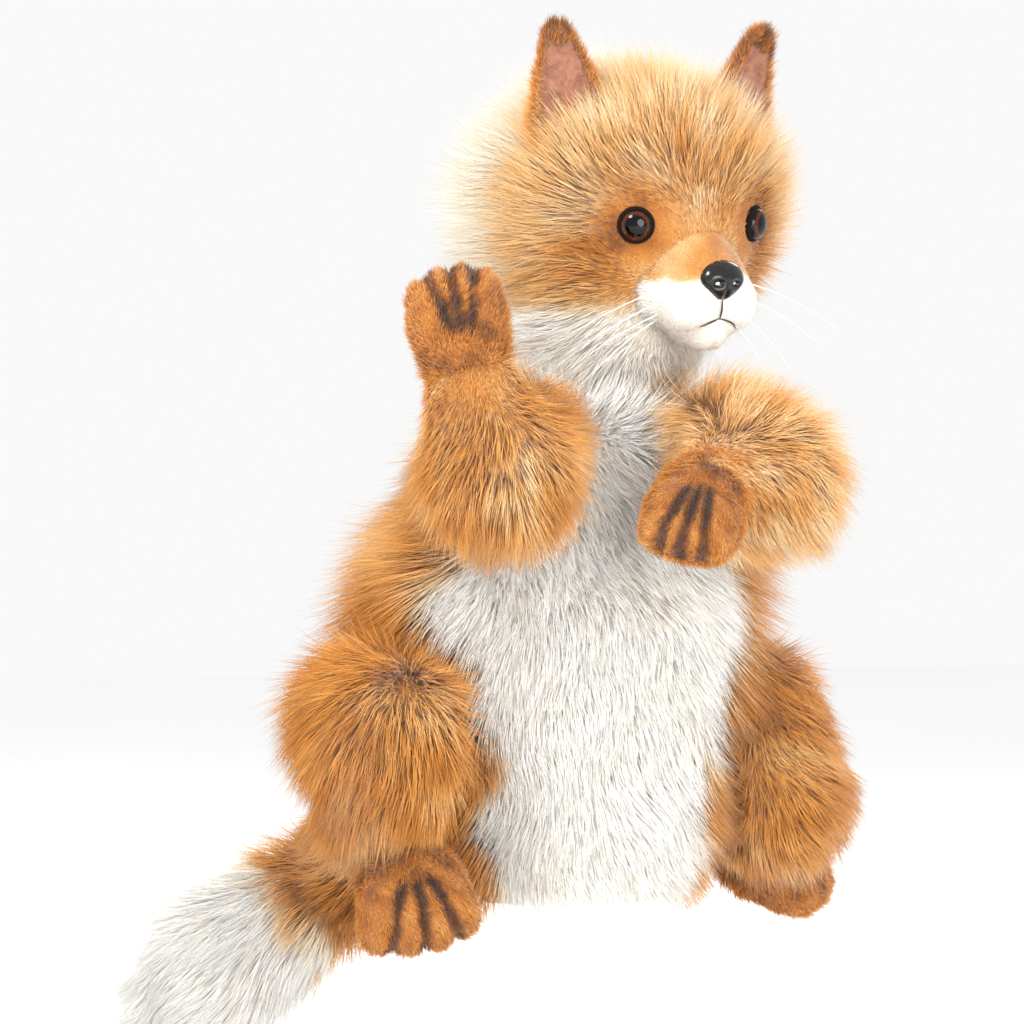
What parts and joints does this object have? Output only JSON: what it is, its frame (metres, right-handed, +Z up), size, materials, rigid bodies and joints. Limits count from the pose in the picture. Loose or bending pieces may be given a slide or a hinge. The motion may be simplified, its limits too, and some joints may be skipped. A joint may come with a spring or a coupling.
{
  "type": "hand puppet",
  "caption": "Plush fox hand puppet with a hollow body for the hand, finger pockets in head and arms, and stuffed limbs and tail that turn in sewn seats.",
  "frame": {"origin": "centre of the round hand opening, at the lower edge of the hem", "axes": "+Z up through the body, -Y the way the puppet looks, +X the puppet's own left"},
  "size_m": [0.2984, 0.3027, 0.4632],
  "materials": {
    "rust_plush": "long pile plush",
    "gold_plush": "long pile plush with darker roots",
    "white_plush": "long soft pile",
    "cream_plush": "long soft pile",
    "short_rust_plush": "short dense pile",
    "short_white_plush": "short dense pile",
    "short_gold_plush": "short dense pile",
    "inner_cloth": "plain woven cotton blend",
    "band_cloth": "stitched webbing",
    "stuffing": "loose polyester fibre",
    "suede": "brushed velvet",
    "thread": "embroidery thread",
    "gloss_black": "moulded, high gloss",
    "eye_glass": "clear domed, painted behind",
    "felt_black": "thin felt",
    "washer_plastic": "plain moulded",
    "filament": "clear nylon monofilament"
  },
  "bodies": {
    "torso": {"back_shell": "rust_plush", "belly_panel": "white_plush", "glove_lining": "inner_cloth", "hem_band": "band_cloth"},
    "neck": {"neck_gusset": "cream_plush"},
    "head": {"head_stuffing": "stuffing", "head_finger_pocket": "inner_cloth", "face_panel": "gold_plush", "ruff_panel": "cream_plush", "muzzle_bridge": "short_gold_plush", "muzzle_cheeks": "short_white_plush", "chin_patch": "short_white_plush", "mouth_stitch": "thread", "nose": "gloss_black", "nose_washer": "washer_plastic", "eye_right": "eye_glass", "eye_left": "eye_glass", "eye_washers": "washer_plastic", "eye_rim_right": "felt_black", "eye_rim_left": "felt_black", "ear_back_right": "short_rust_plush", "ear_back_left": "short_rust_plush", "ear_lining_right": "suede", "ear_lining_left": "suede", "whiskers": "filament"},
    "shoulder_right": {"shoulder_gusset_right": "rust_plush"},
    "arm_right": {"sleeve_right": "rust_plush", "arm_finger_pocket_right": "inner_cloth"},
    "hand_right": {"paw_right": "short_rust_plush", "paw_stuffing_right": "stuffing", "paw_seams_right": "thread"},
    "leg_right": {"thigh_right": "rust_plush", "thigh_stuffing_right": "stuffing"},
    "ankle_right": {"foot_right": "short_rust_plush", "foot_stuffing_right": "stuffing", "foot_seams_right": "thread", "sole_patch_right": "suede"},
    "shoulder_left": {"shoulder_gusset_left": "rust_plush"},
    "arm_left": {"sleeve_left": "rust_plush", "arm_finger_pocket_left": "inner_cloth"},
    "hand_left": {"paw_left": "short_rust_plush", "paw_stuffing_left": "stuffing", "paw_seams_left": "thread"},
    "leg_left": {"thigh_left": "rust_plush", "thigh_stuffing_left": "stuffing"},
    "ankle_left": {"foot_left": "short_rust_plush", "foot_stuffing_left": "stuffing", "foot_seams_left": "thread", "sole_patch_left": "suede"},
    "tail_seat": {"tail_gusset": "rust_plush"},
    "tail_upper": {"tail_base": "rust_plush", "tail_base_stuffing": "stuffing"},
    "tail_lower": {"tail_tip": "white_plush", "tail_tip_stuffing": "stuffing"}
  },
  "joints": [
    {"name": "neck_turn", "type": "hinge", "parent": "torso", "child": "neck", "pos_m": [0.026, 0.002, 0.258], "axis": [0, 0, 1], "range_deg": [-30, 30]},
    {"name": "head_nod", "type": "hinge", "parent": "neck", "child": "head", "pos_m": [0.026, 0.002, 0.258], "axis": [0.9877, 0.1564, 0], "range_deg": [-10, 18]},
    {"name": "arm_swing_right", "type": "hinge", "parent": "torso", "child": "shoulder_right", "pos_m": [-0.03439, -0.03854, 0.20535], "axis": [0, 0, -1], "range_deg": [-10, 20]},
    {"name": "arm_lift_right", "type": "hinge", "parent": "shoulder_right", "child": "arm_right", "pos_m": [-0.03439, -0.03854, 0.20535], "axis": [-1, 0, 0], "range_deg": [-20, 20]},
    {"name": "paw_bend_right", "type": "hinge", "parent": "arm_right", "child": "hand_right", "pos_m": [-0.0736, -0.08056, 0.23059], "axis": [0.936, -0.2956, 0.191], "range_deg": [-25, 25]},
    {"name": "leg_swing_right", "type": "hinge", "parent": "torso", "child": "leg_right", "pos_m": [-0.09579, -0.002, 0.084], "axis": [-1, 0, 0], "range_deg": [-25, 25]},
    {"name": "foot_bend_right", "type": "hinge", "parent": "leg_right", "child": "ankle_right", "pos_m": [-0.0885, -0.03991, 0.02204], "axis": [-0.9771, 0.1315, -0.1673], "range_deg": [-20, 20]},
    {"name": "arm_swing_left", "type": "hinge", "parent": "torso", "child": "shoulder_left", "pos_m": [0.05839, -0.03854, 0.20535], "axis": [0, 0, 1], "range_deg": [-10, 20]},
    {"name": "arm_lift_left", "type": "hinge", "parent": "shoulder_left", "child": "arm_left", "pos_m": [0.05839, -0.03854, 0.20535], "axis": [-1, 0, 0], "range_deg": [-20, 20]},
    {"name": "paw_bend_left", "type": "hinge", "parent": "arm_left", "child": "hand_left", "pos_m": [0.02279, -0.1091, 0.18217], "axis": [-0.8388, 0.4777, 0.2611], "range_deg": [-25, 25]},
    {"name": "leg_swing_left", "type": "hinge", "parent": "torso", "child": "leg_left", "pos_m": [0.09579, -0.002, 0.084], "axis": [-1, 0, 0], "range_deg": [-25, 25]},
    {"name": "foot_bend_left", "type": "hinge", "parent": "leg_left", "child": "ankle_left", "pos_m": [0.09797, 0.01621, 0.01334], "axis": [-0.4886, -0.8444, -0.2197], "range_deg": [-20, 20]},
    {"name": "tail_wag", "type": "hinge", "parent": "torso", "child": "tail_seat", "pos_m": [-0.01, 0.071, 0.048], "axis": [0, 0, 1], "range_deg": [-25, 4]},
    {"name": "tail_lift", "type": "hinge", "parent": "tail_seat", "child": "tail_upper", "pos_m": [-0.01, 0.071, 0.048], "axis": [-0.4801, -0.8772, 0], "range_deg": [-15, 9]},
    {"name": "tail_curl", "type": "hinge", "parent": "tail_upper", "child": "tail_lower", "pos_m": [-0.08353, 0.11185, -0.0097], "axis": [-0.4801, -0.8772, 0], "range_deg": [-20, 25]}
  ]
}
